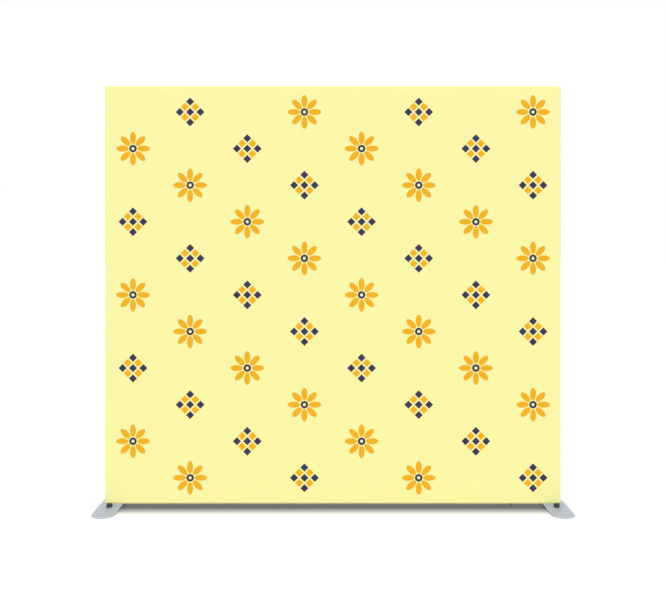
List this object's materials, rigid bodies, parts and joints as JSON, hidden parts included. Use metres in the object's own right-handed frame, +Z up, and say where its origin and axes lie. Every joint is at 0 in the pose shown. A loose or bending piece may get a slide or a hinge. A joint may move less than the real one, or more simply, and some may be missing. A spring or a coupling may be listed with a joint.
{
  "type": "tension fabric display wall",
  "caption": "Free-standing rectangular display wall: a printed stretch-fabric cover zipped over a knock-down tube frame on two flat swivelling feet.",
  "frame": {"origin": "on the floor, under the middle of the wall", "axes": "+X along the wall to the viewer's right, +Y to the back, +Z up; the printed front faces -Y"},
  "size_m": [2.576, 0.3, 2.316],
  "materials": {
    "printed_fabric": "dye-printed knitted polyester, matt, pale yellow with orange and navy motifs",
    "plain_fabric": "dye-printed knitted polyester, matt, plain pale yellow",
    "tube_aluminium": "drawn tube, natural anodised, satin",
    "rivet_aluminium": "plain domed blind rivets",
    "black_nylon": "moulded glass-filled nylon, matt",
    "spacer_black": "moulded nylon, satin black",
    "spring_steel": "blued leaf spring",
    "button_steel": "nickel-plated steel",
    "silver_powder_coat": "silver-grey powder coat, satin",
    "pad_rubber": "black rubber, matt",
    "zinc_steel": "zinc-plated steel",
    "insert_brass": "turned brass",
    "zip_tape": "woven polyester tape, pale yellow",
    "zip_plastic": "moulded acetal teeth and stops, cream",
    "zip_metal": "cast zinc, nickel-plated"
  },
  "bodies": {
    "wall": {"cover_front": "printed_fabric", "cover_back": "plain_fabric", "upright_left_lower": "tube_aluminium", "upright_left_upper": "tube_aluminium", "upright_right_lower": "tube_aluminium", "upright_right_upper": "tube_aluminium", "pole_lower": "tube_aluminium", "pole_upper": "tube_aluminium", "rail_bottom_left": "tube_aluminium", "rail_bottom_right": "tube_aluminium", "rail_top_left": "tube_aluminium", "rail_top_right": "tube_aluminium", "corner_bottom_left": "black_nylon", "corner_bottom_right": "black_nylon", "corner_top_left": "black_nylon", "corner_top_right": "black_nylon", "tee_bottom": "black_nylon", "tee_top": "black_nylon", "coupler_left": "black_nylon", "coupler_right": "black_nylon", "coupler_pole": "black_nylon", "rivets": "rivet_aluminium", "button_springs": "spring_steel", "foot_bolt_left": "zinc_steel", "foot_bolt_right": "zinc_steel", "foot_insert_left": "insert_brass", "foot_insert_right": "insert_brass", "zip_tape_front": "zip_tape", "zip_tape_back": "zip_tape", "zip_teeth_front": "zip_plastic", "zip_teeth_back": "zip_plastic", "zip_stops": "zip_plastic"},
    "foot_left": {"foot_plate_left": "silver_powder_coat", "foot_pads_left": "pad_rubber", "foot_spacer_left": "spacer_black"},
    "foot_right": {"foot_plate_right": "silver_powder_coat", "foot_pads_right": "pad_rubber", "foot_spacer_right": "spacer_black"},
    "zip_slider": {"zip_slider": "zip_metal"},
    "zip_pull": {"zip_pull": "zip_metal"},
    "button_corner_bottom_left": {"button_corner_bottom_left": "button_steel"},
    "button_corner_bottom_right": {"button_corner_bottom_right": "button_steel"},
    "button_corner_top_left": {"button_corner_top_left": "button_steel"},
    "button_corner_top_right": {"button_corner_top_right": "button_steel"},
    "button_tee_bottom": {"button_tee_bottom": "button_steel"},
    "button_tee_top": {"button_tee_top": "button_steel"},
    "button_pole_bottom": {"button_pole_bottom": "button_steel"},
    "button_pole_top": {"button_pole_top": "button_steel"},
    "button_coupler_left": {"button_coupler_left": "button_steel"},
    "button_coupler_right": {"button_coupler_right": "button_steel"},
    "button_coupler_pole": {"button_coupler_pole": "button_steel"}
  },
  "joints": [
    {"name": "foot_swivel_left", "type": "hinge", "parent": "wall", "child": "foot_left", "pos_m": [-1.228, 0, 0.007], "axis": [0, 0, 1], "range_deg": [-90, 90]},
    {"name": "foot_swivel_right", "type": "hinge", "parent": "wall", "child": "foot_right", "pos_m": [1.228, 0, 0.007], "axis": [0, 0, 1], "range_deg": [-90, 90]},
    {"name": "slider_travel", "type": "slide", "parent": "wall", "child": "zip_slider", "axis": [1, 0, 0], "range_m": [-1.95, 0], "deforming": ["zip_teeth_front", "zip_teeth_back", "zip_tape_front", "zip_tape_back"]},
    {"name": "pull_swing", "type": "hinge", "parent": "zip_slider", "child": "zip_pull", "pos_m": [0.9768, 0, 0.0226], "axis": [0, 1, 0], "range_deg": [-85, 85]},
    {"name": "snap_corner_bottom_left", "type": "slide", "parent": "wall", "child": "button_corner_bottom_left", "axis": [0, 0, 1], "range_m": [-0.0052, 0], "stiffness_N_per_m": 2500, "springref_m": 0.004, "deforming": ["button_springs"]},
    {"name": "snap_corner_bottom_right", "type": "slide", "parent": "wall", "child": "button_corner_bottom_right", "axis": [0, 0, 1], "range_m": [-0.0052, 0], "stiffness_N_per_m": 2500, "springref_m": 0.004, "deforming": ["button_springs"]},
    {"name": "snap_corner_top_left", "type": "slide", "parent": "wall", "child": "button_corner_top_left", "axis": [0, 0, -1], "range_m": [-0.0052, 0], "stiffness_N_per_m": 2500, "springref_m": 0.004, "deforming": ["button_springs"]},
    {"name": "snap_corner_top_right", "type": "slide", "parent": "wall", "child": "button_corner_top_right", "axis": [0, 0, -1], "range_m": [-0.0052, 0], "stiffness_N_per_m": 2500, "springref_m": 0.004, "deforming": ["button_springs"]},
    {"name": "snap_tee_bottom", "type": "slide", "parent": "wall", "child": "button_tee_bottom", "axis": [0, 0, 1], "range_m": [-0.0052, 0], "stiffness_N_per_m": 2500, "springref_m": 0.004, "deforming": ["button_springs"]},
    {"name": "snap_tee_top", "type": "slide", "parent": "wall", "child": "button_tee_top", "axis": [0, 0, -1], "range_m": [-0.0052, 0], "stiffness_N_per_m": 2500, "springref_m": 0.004, "deforming": ["button_springs"]},
    {"name": "snap_pole_bottom", "type": "slide", "parent": "wall", "child": "button_pole_bottom", "axis": [1, 0, 0], "range_m": [-0.0052, 0], "stiffness_N_per_m": 2500, "springref_m": 0.004, "deforming": ["button_springs"]},
    {"name": "snap_pole_top", "type": "slide", "parent": "wall", "child": "button_pole_top", "axis": [1, 0, 0], "range_m": [-0.0052, 0], "stiffness_N_per_m": 2500, "springref_m": 0.004, "deforming": ["button_springs"]},
    {"name": "snap_coupler_left", "type": "slide", "parent": "wall", "child": "button_coupler_left", "axis": [1, 0, 0], "range_m": [-0.0052, 0], "stiffness_N_per_m": 2500, "springref_m": 0.004, "deforming": ["button_springs"]},
    {"name": "snap_coupler_right", "type": "slide", "parent": "wall", "child": "button_coupler_right", "axis": [-1, 0, 0], "range_m": [-0.0052, 0], "stiffness_N_per_m": 2500, "springref_m": 0.004, "deforming": ["button_springs"]},
    {"name": "snap_coupler_pole", "type": "slide", "parent": "wall", "child": "button_coupler_pole", "axis": [1, 0, 0], "range_m": [-0.0052, 0], "stiffness_N_per_m": 2500, "springref_m": 0.004, "deforming": ["button_springs"]}
  ]
}
